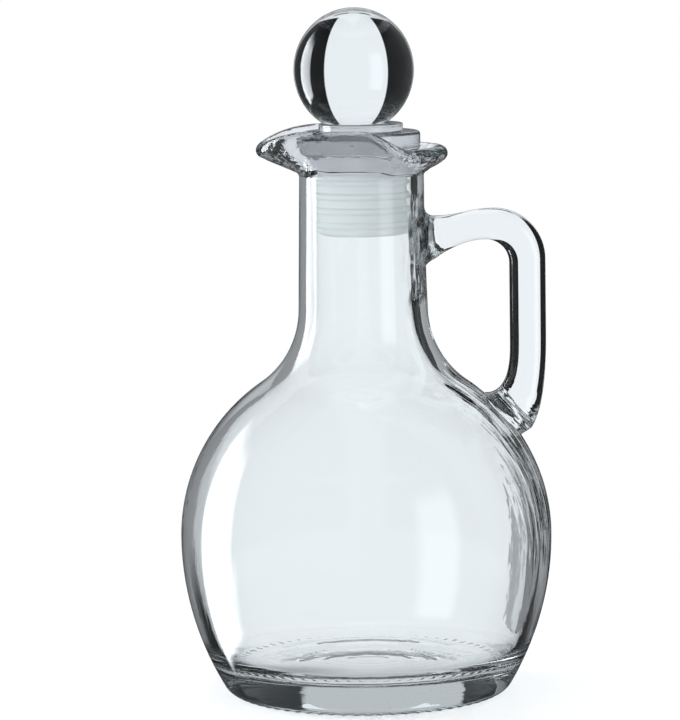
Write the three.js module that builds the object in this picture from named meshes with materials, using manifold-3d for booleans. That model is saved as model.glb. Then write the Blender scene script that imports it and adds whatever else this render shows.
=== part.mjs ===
// Oil dispenser bottle: a clear glass carafe with a fused glass handle, a folded pouring lip
// and a glass ball stopper that is held in the neck by a ribbed sealing sleeve.
// Millimetres, +Z up. The origin is the centre of the ring that the bottle stands on.
// The pouring lip points to -X and the handle to +X.

import * as THREE from 'three';
import { mergeVertices } from 'three/addons/utils/BufferGeometryUtils.js';
import Module from 'manifold-3d';

const wasm = await Module();
wasm.setup();

// Driving dimensions of the vessel
const BELLY_RADIUS = 51;          // outside, at the widest ring; the upper belly is a half ball
const BELLY_HEIGHT = 43.5;        // of the widest ring
const LOWER_WALL_ARC = 80.4;      // outside arc from the widest ring down to the heel
const HEEL_FILLET = 5;            // outside, from the lower wall to the standing ring
const STANDING_RING_WIDTH = 4;    // flat ring that the bottle stands on
const PUSH_UP = 2;                // rise of the underside inside that ring
const SHOULDER_ARC = 25;          // hollow outside arc from the belly to the neck
const NECK_BASE_RADIUS = 17.7;    // outside, where the shoulder ends
const NECK_TOP_RADIUS = 17;       // outside, under the lip
const NECK_TOP_HEIGHT = 142.5;    // where the lip folds out of the neck
const BORE_RADIUS = 13.5;         // inside of the neck
const WALL = 3.4;                 // glass of the belly
const FLOOR_HEIGHT = 9.5;         // inside floor above the table
const INSIDE_HEEL_FILLET = 9;     // inside, from the floor to the lower wall
const MOUTH_BEVEL = 1.1;          // widening of the bore at the neck top

// Driving dimensions of the lip, which is a collar that was folded out while it was soft
const LIP_BEND = 3;               // radius of the fold, at the middle of the glass
const RIM_RADIUS = 2.2;           // rounded edge of the lip
const CREST_START = 54;           // degrees round the axis from the spout to each raised crest
const CREST_END = 90;             // and to the end of the crest
const LOBE_START = 130;           // and to the low lobe above the handle
const SPOUT_FOLD = 63;            // degrees that the collar leans out at the spout
const CREST_FOLD = 23;            // and at the crests
const HANDLE_SIDE_FOLD = 52;      // and above the handle
const SPOUT_LENGTH = 13.5;        // of the collar along its middle, without the rounded edge
const CREST_LENGTH = 12.1;
const HANDLE_SIDE_LENGTH = 8.4;

// Driving dimensions of the handle
const HANDLE_DEPTH = 11;          // across, along Y
const HANDLE_EDGE_ROUND = 2.6;
const FINGER_ROOM = 22.4;         // from the neck to the upright
const UPRIGHT_WIDTH = 9.9;
const ARM_DROP = 11.2;            // top of the arm below the neck top
const ARM_ROOT_HEIGHT = 11.6;     // of the arm where it leaves the neck
const KNUCKLE_RISE = 1.9;         // of the bend above the arm's top at the neck
const KNUCKLE_HEIGHT = 8.5;       // of the arm where it meets the bend
const OUTER_BEND = 14;            // outside of the bend
const INNER_BEND = 6.5;           // inside of the bend
const ROOT_FILLET = 3;            // from the arm to the neck
const FOOT_INNER_ANGLE = 49.5;    // degrees up the belly ball, where the finger gap ends
const FOOT_HEEL_ANGLE = 32.4;     // to the corner of the foot's heel
const FOOT_END_ANGLE = 29;        // and where the heel runs out on the belly
const FOOT_PROUD = 3.3;           // of the heel's corner above the belly
const FOOT_BEND = 13;             // sweep from the upright into the foot
const FUSED_JOINT_GAP = 0.3;      // left between the handle and the vessel

// Driving dimensions of the stopper
const FLANGE_RADIUS = 16.2;       // glass disc that rests in the mouth
const FLANGE_THICKNESS = 5.2;
const FLANGE_ROUND = 1;           // of its edges
const FLANGE_CLEARANCE = 0.4;     // to the inside of the lip
const COLLAR_RADIUS = 11.5;       // small disc that carries the ball
const COLLAR_THICKNESS = 2.2;
const BALL_RADIUS = 16.45;
const BALL_HALF_HEIGHT = 17;      // the ball is a little taller than it is wide
const BALL_SEAT_RADIUS = 8.7;     // of the ball's ground flat
const BALL_OFFSET = 1.7;          // of the ball from the axis, towards the spout
const SLEEVE_DEPTH = 15.9;        // of the sleeve below the neck top
const SLEEVE_FLOOR = 1.6;
const SLEEVE_WALL = 2;            // under the grooves
const SLEEVE_END_ROUND = 2;       // of the sleeve's lower edge
const RIB_COUNT = 4;
const RIB_PITCH = 3.93;
const RIB_WIDTH = 1.9;
const RIB_DEPTH = 0.9;
const SEAL_CLEARANCE = 0.3;       // ribs to the bore
const STEM_CLEARANCE = 0.3;       // stem to the sleeve

const SEGMENTS = 40;              // facets round the axis
const TURN = Math.PI / 180;

// Sizes that follow from the driving dimensions
const lowerArcCentre = BELLY_RADIUS - LOWER_WALL_ARC;
const neckWallMiddle = (NECK_TOP_RADIUS + BORE_RADIUS + MOUTH_BEVEL) / 2;
const lipRootHalf = (NECK_TOP_RADIUS - BORE_RADIUS - MOUTH_BEVEL) / 2;
const bendCentre = neckWallMiddle + LIP_BEND;
const ribRadius = BORE_RADIUS - SEAL_CLEARANCE;
const grooveRadius = ribRadius - RIB_DEPTH;
const sleeveBoreRadius = grooveRadius - SLEEVE_WALL;
const stemRadius = sleeveBoreRadius - STEM_CLEARANCE;
const sleeveBottom = NECK_TOP_HEIGHT - SLEEVE_DEPTH;

// Points on an arc in the half-plane of radius and height, from one angle to another
function arc(centreRadius, centreHeight, radius, fromAngle, toAngle, steps) {
  const points = [];
  for (let step = 0; step <= steps; step += 1) {
    const angle = fromAngle + (toAngle - fromAngle) * step / steps;
    const x = centreRadius + radius * Math.cos(angle);
    points.push(new THREE.Vector2(Math.max(x, 0), centreHeight + radius * Math.sin(angle)));
  }
  return points;
}

// Centre of a fillet that lies inside the lower wall's arc and stands on a level plane
function filletCentre(wallArc, fillet, planeHeight) {
  const rise = BELLY_HEIGHT - planeHeight - fillet;
  return lowerArcCentre + Math.sqrt((wallArc - fillet) ** 2 - rise ** 2);
}

// Heel fillet and lower wall, from the standing plane or the floor up to the widest ring
function lowerWall(wallArc, fillet, planeHeight) {
  const centre = filletCentre(wallArc, fillet, planeHeight);
  const tangent = Math.atan2(planeHeight + fillet - BELLY_HEIGHT, centre - lowerArcCentre);
  const heel = arc(centre, planeHeight + fillet, fillet, -Math.PI / 2, tangent, 4);
  const wall = arc(lowerArcCentre, BELLY_HEIGHT, wallArc, tangent, 0, 6);
  return [...heel, ...wall.slice(1)];
}

// Upper belly and hollow shoulder, from the widest ring up to the neck
function upperWall(bellyRadius, shoulderArc, neckRadius) {
  const centre = neckRadius + shoulderArc;
  const rise = Math.sqrt((bellyRadius + shoulderArc) ** 2 - centre ** 2);
  const tangent = Math.atan2(rise, centre);
  const belly = arc(0, BELLY_HEIGHT, bellyRadius, 0, tangent, 9);
  const shoulder = arc(centre, BELLY_HEIGHT + rise, shoulderArc, tangent - Math.PI, -Math.PI, 7);
  return [...belly.slice(1), ...shoulder.slice(1)];
}

// Outside of the vessel from the heel to the neck top, grown by a gap for cutting its neighbour
function outsideWall(gap) {
  return [
    ...lowerWall(LOWER_WALL_ARC + gap, HEEL_FILLET + gap, -gap),
    ...upperWall(BELLY_RADIUS + gap, SHOULDER_ARC - gap, NECK_BASE_RADIUS + gap),
    new THREE.Vector2(NECK_TOP_RADIUS + gap, NECK_TOP_HEIGHT),
  ];
}

// Inside of the vessel from the floor to the mouth
function insideWall() {
  return [
    ...lowerWall(LOWER_WALL_ARC - WALL, INSIDE_HEEL_FILLET, FLOOR_HEIGHT),
    ...upperWall(BELLY_RADIUS - WALL, SHOULDER_ARC + WALL, BORE_RADIUS),
    new THREE.Vector2(BORE_RADIUS, NECK_TOP_HEIGHT - MOUTH_BEVEL),
    new THREE.Vector2(BORE_RADIUS + MOUTH_BEVEL, NECK_TOP_HEIGHT),
  ];
}

// Shares of the collar's length that carry points, closer together in the fold
const collarStations = [0.06, 0.13, 0.22, 0.45, 0.72, 1];

// The collar before it is folded: a straight tube on the neck top with a rounded edge
function straightCollar() {
  const half = (share) => lipRootHalf + (RIM_RADIUS - lipRootHalf) * share;
  const side = (sign) => collarStations.map((share) => new THREE.Vector2(
    neckWallMiddle + sign * half(share), NECK_TOP_HEIGHT + share * CREST_LENGTH));
  const edge = arc(neckWallMiddle, NECK_TOP_HEIGHT + CREST_LENGTH, RIM_RADIUS, 0, Math.PI, 6);
  return [...side(1), ...edge.slice(1, -1), ...side(-1).reverse()];
}

// Blend of a value at the spout, at the crests and above the handle, by the angle from the spout
function roundTheLip(angle, spout, crest, handleSide) {
  const ease = (share) => (1 - Math.cos(Math.PI * THREE.MathUtils.clamp(share, 0, 1))) / 2;
  const degrees = angle / TURN;
  const towardsCrest = ease(degrees / CREST_START);
  const towardsHandle = ease((degrees - CREST_END) / (LOBE_START - CREST_END));
  return spout + (crest - spout) * towardsCrest + (handleSide - crest) * towardsHandle;
}

// Radius and height of a collar point after folding: along and across are its place in the collar
function foldedPoint(along, across, fold, length) {
  const stretched = along <= CREST_LENGTH ? along * length / CREST_LENGTH : along - CREST_LENGTH + length;
  const turned = Math.min(stretched / LIP_BEND, fold);
  const straight = stretched - LIP_BEND * turned;
  return {
    radius: bendCentre - (LIP_BEND - across) * Math.cos(turned) + straight * Math.sin(turned),
    height: NECK_TOP_HEIGHT + (LIP_BEND - across) * Math.sin(turned) + straight * Math.cos(turned),
  };
}

// Folds every collar point of the turned vessel out by the lean of its side
function foldLip(geometry) {
  const points = geometry.attributes.position;
  for (let index = 0; index < points.count; index += 1) {
    const x = points.getX(index);
    const y = points.getY(index);
    const along = points.getZ(index) - NECK_TOP_HEIGHT;
    if (along <= 0) continue;
    const radius = Math.hypot(x, y);
    const fromSpout = Math.acos(THREE.MathUtils.clamp(-x / radius, -1, 1));
    const fold = roundTheLip(fromSpout, SPOUT_FOLD, CREST_FOLD, HANDLE_SIDE_FOLD) * TURN;
    const length = roundTheLip(fromSpout, SPOUT_LENGTH, CREST_LENGTH, HANDLE_SIDE_LENGTH);
    const folded = foldedPoint(along, radius - neckWallMiddle, fold, length);
    const scale = folded.radius / radius;
    points.setXYZ(index, x * scale, y * scale, folded.height);
  }
}

// Height at which the inside of the lip, at its narrow crests, has a given radius
function mouthHeight(radius) {
  const fold = CREST_FOLD * TURN;
  const taper = (RIM_RADIUS - lipRootHalf) / CREST_LENGTH;
  const halfAtBend = lipRootHalf + taper * LIP_BEND * fold;
  const radiusAtBend = bendCentre - (LIP_BEND + halfAtBend) * Math.cos(fold);
  const straight = (radius - radiusAtBend) / (Math.sin(fold) - taper * Math.cos(fold));
  const half = halfAtBend + taper * straight;
  return NECK_TOP_HEIGHT + (LIP_BEND + half) * Math.sin(fold) + straight * Math.cos(fold);
}

// Heights of the stopper's stack, from the seat in the mouth upwards
const flangeBottom = mouthHeight(FLANGE_RADIUS + FLANGE_CLEARANCE);
const flangeTop = flangeBottom + FLANGE_THICKNESS;
const collarTop = flangeTop + COLLAR_THICKNESS;
const ballFlatAngle = -Math.acos(BALL_SEAT_RADIUS / BALL_RADIUS);
const ballCentreHeight = collarTop - BALL_HALF_HEIGHT * Math.sin(ballFlatAngle);

// Merges shared corners and drops the triangles that collapse on the axis
function weld(geometry) {
  geometry.deleteAttribute('normal');
  geometry.deleteAttribute('uv');
  const merged = mergeVertices(geometry);
  const corners = merged.index.array;
  const kept = [];
  for (let start = 0; start < corners.length; start += 3) {
    const [a, b, c] = corners.slice(start, start + 3);
    if (a !== b && b !== c && c !== a) kept.push(a, b, c);
  }
  merged.setIndex(kept);
  return merged;
}

function turned(profile) {
  const geometry = new THREE.LatheGeometry(profile, SEGMENTS);
  geometry.rotateX(Math.PI / 2);
  return geometry;
}

function solidOf(geometry) {
  const welded = weld(geometry);
  return new wasm.Manifold(new wasm.Mesh({
    numProp: 3,
    vertProperties: Float32Array.from(welded.attributes.position.array),
    triVerts: Uint32Array.from(welded.index.array),
  }));
}

function geometryOf(solid) {
  const mesh = solid.getMesh();
  const geometry = new THREE.BufferGeometry();
  geometry.setAttribute('position', new THREE.BufferAttribute(mesh.vertProperties, 3));
  geometry.setIndex(new THREE.BufferAttribute(mesh.triVerts, 1));
  return geometry;
}

// Vessel: belly, neck and lip are one wall of glass, open at the mouth
function vesselGeometry() {
  const ringOuter = filletCentre(LOWER_WALL_ARC, HEEL_FILLET, 0);
  const ringInner = ringOuter - STANDING_RING_WIDTH;
  const pushUpArc = (ringInner ** 2 + PUSH_UP ** 2) / (2 * PUSH_UP);
  const pushUpEdge = Math.asin((pushUpArc - PUSH_UP) / pushUpArc);
  const underside = arc(0, PUSH_UP - pushUpArc, pushUpArc, Math.PI / 2, pushUpEdge, 3);
  underside[underside.length - 1].y = 0;
  const profile = [
    ...underside,
    ...outsideWall(0),
    ...straightCollar(),
    ...insideWall().reverse(),
    new THREE.Vector2(0, FLOOR_HEIGHT),
  ];
  const geometry = turned(profile);
  foldLip(geometry);
  return weld(geometry);
}

// Solid block of the vessel's outside, one joint gap larger, that trims the handle's ends
function vesselBlock() {
  const wall = outsideWall(FUSED_JOINT_GAP);
  const profile = [
    new THREE.Vector2(0, -FUSED_JOINT_GAP),
    ...wall,
    new THREE.Vector2(0, NECK_TOP_HEIGHT),
  ];
  return solidOf(turned(profile));
}

// A point on the belly ball, seen from the side, at an angle above the widest ring
function bellyPoint(angle, proud) {
  const radius = BELLY_RADIUS + proud;
  return new THREE.Vector2(
    radius * Math.cos(angle * TURN), BELLY_HEIGHT + radius * Math.sin(angle * TURN));
}

// Side outline of the handle; its two ends run into the glass of the vessel
function handleOutline() {
  const buried = WALL + 2 * HANDLE_EDGE_ROUND;
  const neck = NECK_TOP_RADIUS;
  const inside = neck - buried;
  const armTop = NECK_TOP_HEIGHT - ARM_DROP;
  const armBottom = armTop - ARM_ROOT_HEIGHT;
  const knuckleTop = armTop + KNUCKLE_RISE;
  const knuckleBottom = knuckleTop - KNUCKLE_HEIGHT;
  const uprightInner = NECK_BASE_RADIUS + FINGER_ROOM;
  const uprightOuter = uprightInner + UPRIGHT_WIDTH;
  const footHeel = bellyPoint(FOOT_HEEL_ANGLE, FOOT_PROUD);
  const footEnd = bellyPoint(FOOT_END_ANGLE, 0);
  const footEndBuried = bellyPoint(FOOT_END_ANGLE, -buried);
  const footToeBuried = bellyPoint(FOOT_INNER_ANGLE, -buried);
  const footToe = bellyPoint(FOOT_INNER_ANGLE, 0);
  const outline = new THREE.Shape();
  outline.moveTo(inside, armTop + ROOT_FILLET);
  outline.lineTo(neck, armTop + ROOT_FILLET);
  outline.quadraticCurveTo(neck, armTop, neck + ROOT_FILLET, armTop);
  outline.bezierCurveTo(
    neck + ROOT_FILLET + OUTER_BEND / 2, armTop,
    uprightOuter - 3 * OUTER_BEND / 2, knuckleTop,
    uprightOuter - OUTER_BEND, knuckleTop);
  outline.absarc(
    uprightOuter - OUTER_BEND, knuckleTop - OUTER_BEND, OUTER_BEND, Math.PI / 2, 0, true);
  outline.lineTo(uprightOuter, footHeel.y + 2 * FOOT_BEND);
  outline.quadraticCurveTo(uprightOuter, footHeel.y + FOOT_BEND / 2, footHeel.x, footHeel.y);
  outline.lineTo(footEnd.x, footEnd.y);
  outline.lineTo(footEndBuried.x, footEndBuried.y);
  outline.lineTo(footToeBuried.x, footToeBuried.y);
  outline.lineTo(footToe.x, footToe.y);
  outline.quadraticCurveTo(uprightInner, footToe.y, uprightInner, footToe.y + FOOT_BEND);
  outline.lineTo(uprightInner, knuckleBottom - INNER_BEND);
  outline.absarc(
    uprightInner - INNER_BEND, knuckleBottom - INNER_BEND, INNER_BEND, 0, Math.PI / 2, false);
  outline.quadraticCurveTo(
    uprightInner - 2 * INNER_BEND, knuckleBottom, neck + ROOT_FILLET, armBottom);
  outline.quadraticCurveTo(neck, armBottom - ROOT_FILLET / 2, neck, armBottom - ROOT_FILLET);
  outline.lineTo(inside, armBottom - ROOT_FILLET);
  return outline;
}

// Handle: a round-edged glass strap that is trimmed to the neck and the shoulder
function handleGeometry() {
  const strap = new THREE.ExtrudeGeometry(handleOutline(), {
    depth: HANDLE_DEPTH - 2 * HANDLE_EDGE_ROUND,
    curveSegments: 8,
    bevelThickness: HANDLE_EDGE_ROUND,
    bevelSize: HANDLE_EDGE_ROUND,
    bevelOffset: -HANDLE_EDGE_ROUND,
    bevelSegments: 3,
  });
  strap.translate(0, 0, -HANDLE_DEPTH / 2 + HANDLE_EDGE_ROUND);
  strap.rotateX(Math.PI / 2);
  return geometryOf(solidOf(strap).subtract(vesselBlock()));
}

// Sealing sleeve: a cup with ribs round it, whose bevelled collar sits in the mouth
function sleeveGeometry() {
  const collarRadius = BORE_RADIUS + MOUTH_BEVEL - SEAL_CLEARANCE;
  const collarUnderside = NECK_TOP_HEIGHT - MOUTH_BEVEL;
  const floorTop = sleeveBottom + SLEEVE_FLOOR;
  const round = SLEEVE_END_ROUND;
  const outside = arc(grooveRadius - round, sleeveBottom + round, round, -Math.PI / 2, 0, 3);
  for (let rib = 0; rib < RIB_COUNT; rib += 1) {
    const middle = collarUnderside + RIB_WIDTH / 2 - rib * RIB_PITCH - RIB_PITCH / 2;
    const top = middle + RIB_WIDTH / 2;
    const bottom = middle - RIB_WIDTH / 2;
    outside.splice(4, 0,
      new THREE.Vector2(grooveRadius, bottom),
      new THREE.Vector2(ribRadius, bottom + RIB_WIDTH / 4),
      new THREE.Vector2(ribRadius, top - RIB_WIDTH / 4),
      new THREE.Vector2(grooveRadius, top));
  }
  return weld(turned([
    new THREE.Vector2(0, sleeveBottom),
    ...outside,
    new THREE.Vector2(grooveRadius, collarUnderside),
    new THREE.Vector2(ribRadius, collarUnderside),
    new THREE.Vector2(collarRadius, NECK_TOP_HEIGHT),
    new THREE.Vector2(collarRadius, flangeBottom),
    new THREE.Vector2(sleeveBoreRadius, flangeBottom),
    new THREE.Vector2(sleeveBoreRadius, floorTop),
    new THREE.Vector2(0, floorTop),
  ]));
}

// Stopper plug: stem, flange and the small collar that carries the ball, in one piece of glass
function plugGeometry() {
  const stemBottom = sleeveBottom + SLEEVE_FLOOR + STEM_CLEARANCE;
  const edge = FLANGE_RADIUS - FLANGE_ROUND;
  return weld(turned([
    new THREE.Vector2(0, stemBottom),
    new THREE.Vector2(stemRadius, stemBottom),
    new THREE.Vector2(stemRadius, flangeBottom),
    ...arc(edge, flangeBottom + FLANGE_ROUND, FLANGE_ROUND, -Math.PI / 2, 0, 3),
    ...arc(edge, flangeTop - FLANGE_ROUND, FLANGE_ROUND, 0, Math.PI / 2, 3),
    new THREE.Vector2(COLLAR_RADIUS, flangeTop),
    new THREE.Vector2(COLLAR_RADIUS, collarTop),
    new THREE.Vector2(0, collarTop),
  ]));
}

// Stopper ball: solid glass with a ground flat, bonded on the plug's collar
function ballGeometry() {
  const face = arc(0, 0, BALL_RADIUS, ballFlatAngle, Math.PI / 2, 14);
  face.forEach((point) => point.setY(ballCentreHeight + point.y * BALL_HALF_HEIGHT / BALL_RADIUS));
  face[0].setY(collarTop);
  face[face.length - 1].setX(0);
  return weld(turned([new THREE.Vector2(0, collarTop), ...face]));
}

function piece(name, geometry, look) {
  const mesh = new THREE.Mesh(geometry, new THREE.MeshStandardMaterial(look));
  mesh.name = name;
  return mesh;
}

const clearGlass = { color: 0xe6eff1, roughness: 0.03, metalness: 0, transparent: true, opacity: 0.35 };
const milkyPlastic = { color: 0xe9ecea, roughness: 0.35, metalness: 0, transparent: true, opacity: 0.8 };

const bottle = new THREE.Group();
bottle.add(piece('bottle', vesselGeometry(), clearGlass));
bottle.add(piece('handle', handleGeometry(), clearGlass));

const stopper = new THREE.Group();
const ball = piece('stopper_ball', ballGeometry(), clearGlass);
ball.position.x = -BALL_OFFSET;
stopper.add(ball);
stopper.add(piece('stopper_plug', plugGeometry(), clearGlass));
stopper.add(piece('sealing_sleeve', sleeveGeometry(), milkyPlastic));

const dispenser = new THREE.Group();
dispenser.add(bottle, stopper);

export default dispenser;
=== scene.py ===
# %% [markdown]
# # A glass oil bottle with a fused handle and a ball stopper
#
# The real object is two things on a table: a blown bottle of clear glass with a glass handle, and a
# stopper made of a glass plug, a glass ball and a milky plastic sleeve that seals the neck. The frame
# holds plain solids of these pieces, in metres, and this lesson dresses them. The solids could simply be
# painted, but glass shows every ripple and every edge of its own walls, so the pieces are rebuilt with
# finer meshes.

import functools
import math

import bmesh
import bpy
from mathutils import Matrix, Vector, noise


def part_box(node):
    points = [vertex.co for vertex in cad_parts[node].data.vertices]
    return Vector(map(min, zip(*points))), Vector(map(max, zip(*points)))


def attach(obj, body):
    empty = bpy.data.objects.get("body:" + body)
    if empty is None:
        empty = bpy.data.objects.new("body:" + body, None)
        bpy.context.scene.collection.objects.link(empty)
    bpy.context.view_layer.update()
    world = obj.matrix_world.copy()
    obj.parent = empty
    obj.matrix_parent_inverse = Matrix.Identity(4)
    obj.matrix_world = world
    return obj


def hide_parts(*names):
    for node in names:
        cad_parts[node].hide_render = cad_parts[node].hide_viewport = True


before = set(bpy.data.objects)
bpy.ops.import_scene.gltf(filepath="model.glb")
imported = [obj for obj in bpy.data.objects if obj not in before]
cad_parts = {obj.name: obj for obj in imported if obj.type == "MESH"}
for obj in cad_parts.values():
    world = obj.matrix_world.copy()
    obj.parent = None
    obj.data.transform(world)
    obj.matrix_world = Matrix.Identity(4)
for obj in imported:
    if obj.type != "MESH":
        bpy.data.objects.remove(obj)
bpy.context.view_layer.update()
scene = bpy.context.scene
MM = 0.001

# %% [markdown]
# ## Camera
#
# The bottle is seen from far away through a long lens, from a little above. Straight lines therefore
# stay almost parallel, and the rims show as thin ovals. The camera could be aimed at a point, but it is
# also tipped over a touch, because the bottle leans in the picture. A rotation matrix for each of the
# three small angles keeps them apart: down on the belly, to the left so that the handle has room, and
# over.

# %% Camera
CAMERA_PLACE = (0, -1.1118, 0.2305)
LOOKS_DOWN = math.radians(7.105)
LOOKS_LEFT = math.radians(0.338)
TIPS_OVER = math.radians(-0.83)
LENS = 204.2
SENSOR_WIDTH = 36

camera_data = bpy.data.cameras.new("camera")
camera_data.sensor_width = SENSOR_WIDTH
camera_data.lens = LENS
camera = bpy.data.objects.new("camera", camera_data)
camera.location = CAMERA_PLACE
aim = (
    Matrix.Rotation(LOOKS_LEFT, 3, "Z")
    @ Matrix.Rotation(math.pi / 2 - LOOKS_DOWN, 3, "X")
    @ Matrix.Rotation(TIPS_OVER, 3, "Z")
)
camera.rotation_euler = aim.to_euler()
scene.collection.objects.link(camera)
scene.camera = camera
scene.view_settings.view_transform = "Standard"
print("camera stands", round(Vector(CAMERA_PLACE).length, 3), "m from the foot of the bottle")

# %% [markdown]
# ## Wiring nodes
#
# Every finish and the studio itself are node trees. Nodes could be placed and linked one by one, which
# takes many lines. A small class that belongs to one tree adds a node, sets its options and fills its
# inputs: a plain value is stored in the socket, and a socket of another node is linked to it.

# %% Wiring of one node tree
class Wiring:
    def __init__(self, tree):
        self.tree = tree

    def add(self, kind, options=None, inputs=None):
        node = self.tree.nodes.new(kind)
        for name, value in (options or {}).items():
            setattr(node, name, value)
        for name, value in (inputs or {}).items():
            if isinstance(value, bpy.types.NodeSocket):
                self.tree.links.new(value, node.inputs[name])
            else:
                node.inputs[name].default_value = value
        return node.outputs

    def calculate(self, operation, first, second=0.0):
        return self.add("ShaderNodeMath", {"operation": operation}, {0: first, 1: second})[0]

    def product(self, *values):
        return functools.reduce(functools.partial(self.calculate, "MULTIPLY"), values)

    def total(self, *values):
        return functools.reduce(functools.partial(self.calculate, "ADD"), values)

    def highest(self, *values):
        return functools.reduce(functools.partial(self.calculate, "MAXIMUM"), values)

    def more_than(self, value, count):
        return self.calculate("GREATER_THAN", value, count + 0.5)


def helpers_of(wiring):
    return ", ".join(name for name in vars(wiring) if not name.startswith("_"))


print("helpers that calculate:", helpers_of(Wiring))

# %% [markdown]
# Light has soft limits and is mixed by shares. Both could be worked out with sums, but Blender has a node
# for each: Map Range fades between two limits, Mix chooses between two levels or two colours, and a
# colour ramp holds a row of levels.

# %% Wiring of the studio
class StudioWiring(Wiring):
    def fade(self, value, start, end, low=0.0, high=1.0, kind="SMOOTHSTEP"):
        inputs = {"Value": value, "From Min": start, "From Max": end, "To Min": low, "To Max": high}
        return self.add("ShaderNodeMapRange", {"interpolation_type": kind}, inputs)["Result"]

    def choose(self, share, otherwise, value):
        return self.add("ShaderNodeMix", {"data_type": "FLOAT"}, {0: share, 2: otherwise, 3: value})[0]

    def blend(self, share, otherwise, colour):
        return self.add("ShaderNodeMix", {"data_type": "RGBA"}, {0: share, 6: otherwise, 7: colour})[2]

    def split(self, vector):
        return self.add("ShaderNodeSeparateXYZ", inputs={0: vector})

    def ramp(self, value, start, end, stops):
        share = self.fade(value, start, end, kind="LINEAR")
        output = self.add("ShaderNodeValToRGB", inputs={0: share})[0]
        elements = output.node.color_ramp.elements
        while len(elements) < len(stops):
            elements.new(0.5)
        for element, (stop, level) in zip(elements, stops):
            element.position = (stop - start) / (end - start)
            element.color = (level, level, level, 1)
        return output


print("helpers for light:", helpers_of(StudioWiring))

# %% [markdown]
# ## The studio
#
# Clear glass is drawn by what stands around it. A photographer sets a bright sheet behind the bottle and
# leaves the sides dark: thick glass bends the sides of the room into view, so its edges turn black while
# its middle stays bright. Real lamps and sheets could stand in the scene, but each would then show in
# every wall at once. A ring of brightness round the bottle is easier to steer. It is a group with three
# outputs for any direction from the bottle: what shows through solid glass, what shows inside a wall, and
# what shows as a reflection. The sheets come first.

# %% Group: sheets behind and beside the bottle
SHEET_LEVEL, GAP_LEVEL = 1.0, 0.004
SHEET_EDGES, WALL_SHEET_EDGES = (0.455, 0.365), (0.455, 0.56)
MIDDLE_BLUR, SHEET_BLUR = 0.05, 0.02
SIDE_SHEET_EDGE = 0.22
STEEP = 0.79
LOW_WALL, LOW_WALL_LEVEL = (-0.35, -0.2), 0.08
UNDER_BASE, UNDER_BASE_LEVEL = (-0.65, -0.5), 1.6

ring_group = bpy.data.node_groups.new("ring_of_light", "ShaderNodeTree")
ring_group.interface.new_socket("Direction", in_out="INPUT", socket_type="NodeSocketVector")
for socket_name in ("Through Glass", "In Wall", "Reflected"):
    ring_group.interface.new_socket(socket_name, in_out="OUTPUT", socket_type="NodeSocketFloat")
ring = StudioWiring(ring_group)
to_right, to_back, to_top = ring.split(ring.add("NodeGroupInput")["Direction"])
sideways = ring.calculate("ABSOLUTE", to_right)
straight_on = ring.calculate("ABSOLUTE", to_back)
turned_aside = ring.calculate("DIVIDE", sideways, straight_on)


def within(left_edge, right_edge):
    edge = ring.fade(to_right, -MIDDLE_BLUR, MIDDLE_BLUR, left_edge, right_edge)
    return ring.fade(ring.calculate("SUBTRACT", turned_aside, edge), 0, SHEET_BLUR, 1, 0)


behind = within(*SHEET_EDGES)
from_the_side = ring.calculate("DIVIDE", straight_on, sideways)
beside = ring.fade(from_the_side, SIDE_SHEET_EDGE, SIDE_SHEET_EDGE + SHEET_BLUR, 1, 0)
steep = ring.fade(ring.calculate("ABSOLUTE", to_top), STEEP, STEEP + SHEET_BLUR)
through_glass = ring.choose(ring.highest(behind, beside, steep), GAP_LEVEL, SHEET_LEVEL)
low_wall = ring.fade(to_top, *LOW_WALL, LOW_WALL_LEVEL, 1)
under_base = ring.fade(to_top, *UNDER_BASE, UNDER_BASE_LEVEL, 0)
wall_level = ring.product(ring.highest(low_wall, under_base), SHEET_LEVEL)
in_wall = ring.choose(ring.highest(within(*WALL_SHEET_EDGES), beside), GAP_LEVEL, wall_level)
print("sheets take", len(ring_group.nodes), "nodes")

# %% [markdown]
# A tall lamp at the left and a smaller one at the right draw white stripes on the outside of the glass.
# They could be two boxes of light, but one ramp over the bearing, in degrees round the bottle from the
# camera's side, holds both of them and the dark room between. The left lamp leans, so that its stripe
# bends with the belly.

# %% Group: lamps in the ring
BRIGHTEST_LAMP, OUTSIDE_LAMPS = 10.5, 0.1
RING_STOPS = (
    (-180, 0.003), (-124, 0.004), (-120, 1.0), (-95, 0.85), (-90, 0.010), (-40, 0.012),
    (29, 0.014), (37, 0.2), (56, 0.2), (62, 0.006), (180, 0.003),
)
LAMP_TOP, LAMP_TOP_BLUR = 0.34, 0.25
LAMP_BOTTOM, LAMP_BOTTOM_BLUR = -0.54, 0.06
LAMP_LEAN, LAMP_LEAN_BLUR = 40, 0.1
BACKDROP_RISE, BACKDROP_AWAY = (0.05, 0.3), (0, 0.1)

bearing = ring.calculate("DEGREES", ring.calculate("ARCTAN2", to_right, ring.product(to_back, -1.0)))
left_side = ring.fade(to_right, -LAMP_LEAN_BLUR, LAMP_LEAN_BLUR, LAMP_LEAN, 0)
leaning = ring.total(bearing, ring.product(to_top, to_top, left_side))
lamp_level = ring.product(ring.ramp(leaning, -180, 180, RING_STOPS), BRIGHTEST_LAMP)
above_lamp = ring.fade(to_top, LAMP_TOP, LAMP_TOP + LAMP_TOP_BLUR)
below_lamp = ring.fade(to_top, LAMP_BOTTOM, LAMP_BOTTOM + LAMP_BOTTOM_BLUR, 1, 0)
lamp_level = ring.choose(ring.highest(above_lamp, below_lamp), lamp_level, OUTSIDE_LAMPS)
backdrop = ring.product(behind, ring.fade(to_top, *BACKDROP_RISE), ring.fade(to_back, *BACKDROP_AWAY))
reflected = ring.highest(lamp_level, backdrop)
outputs = {"Through Glass": through_glass, "In Wall": in_wall, "Reflected": reflected}
ring.add("NodeGroupOutput", inputs=outputs)
print("ring of light has", len(ring_group.nodes), "nodes")

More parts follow.
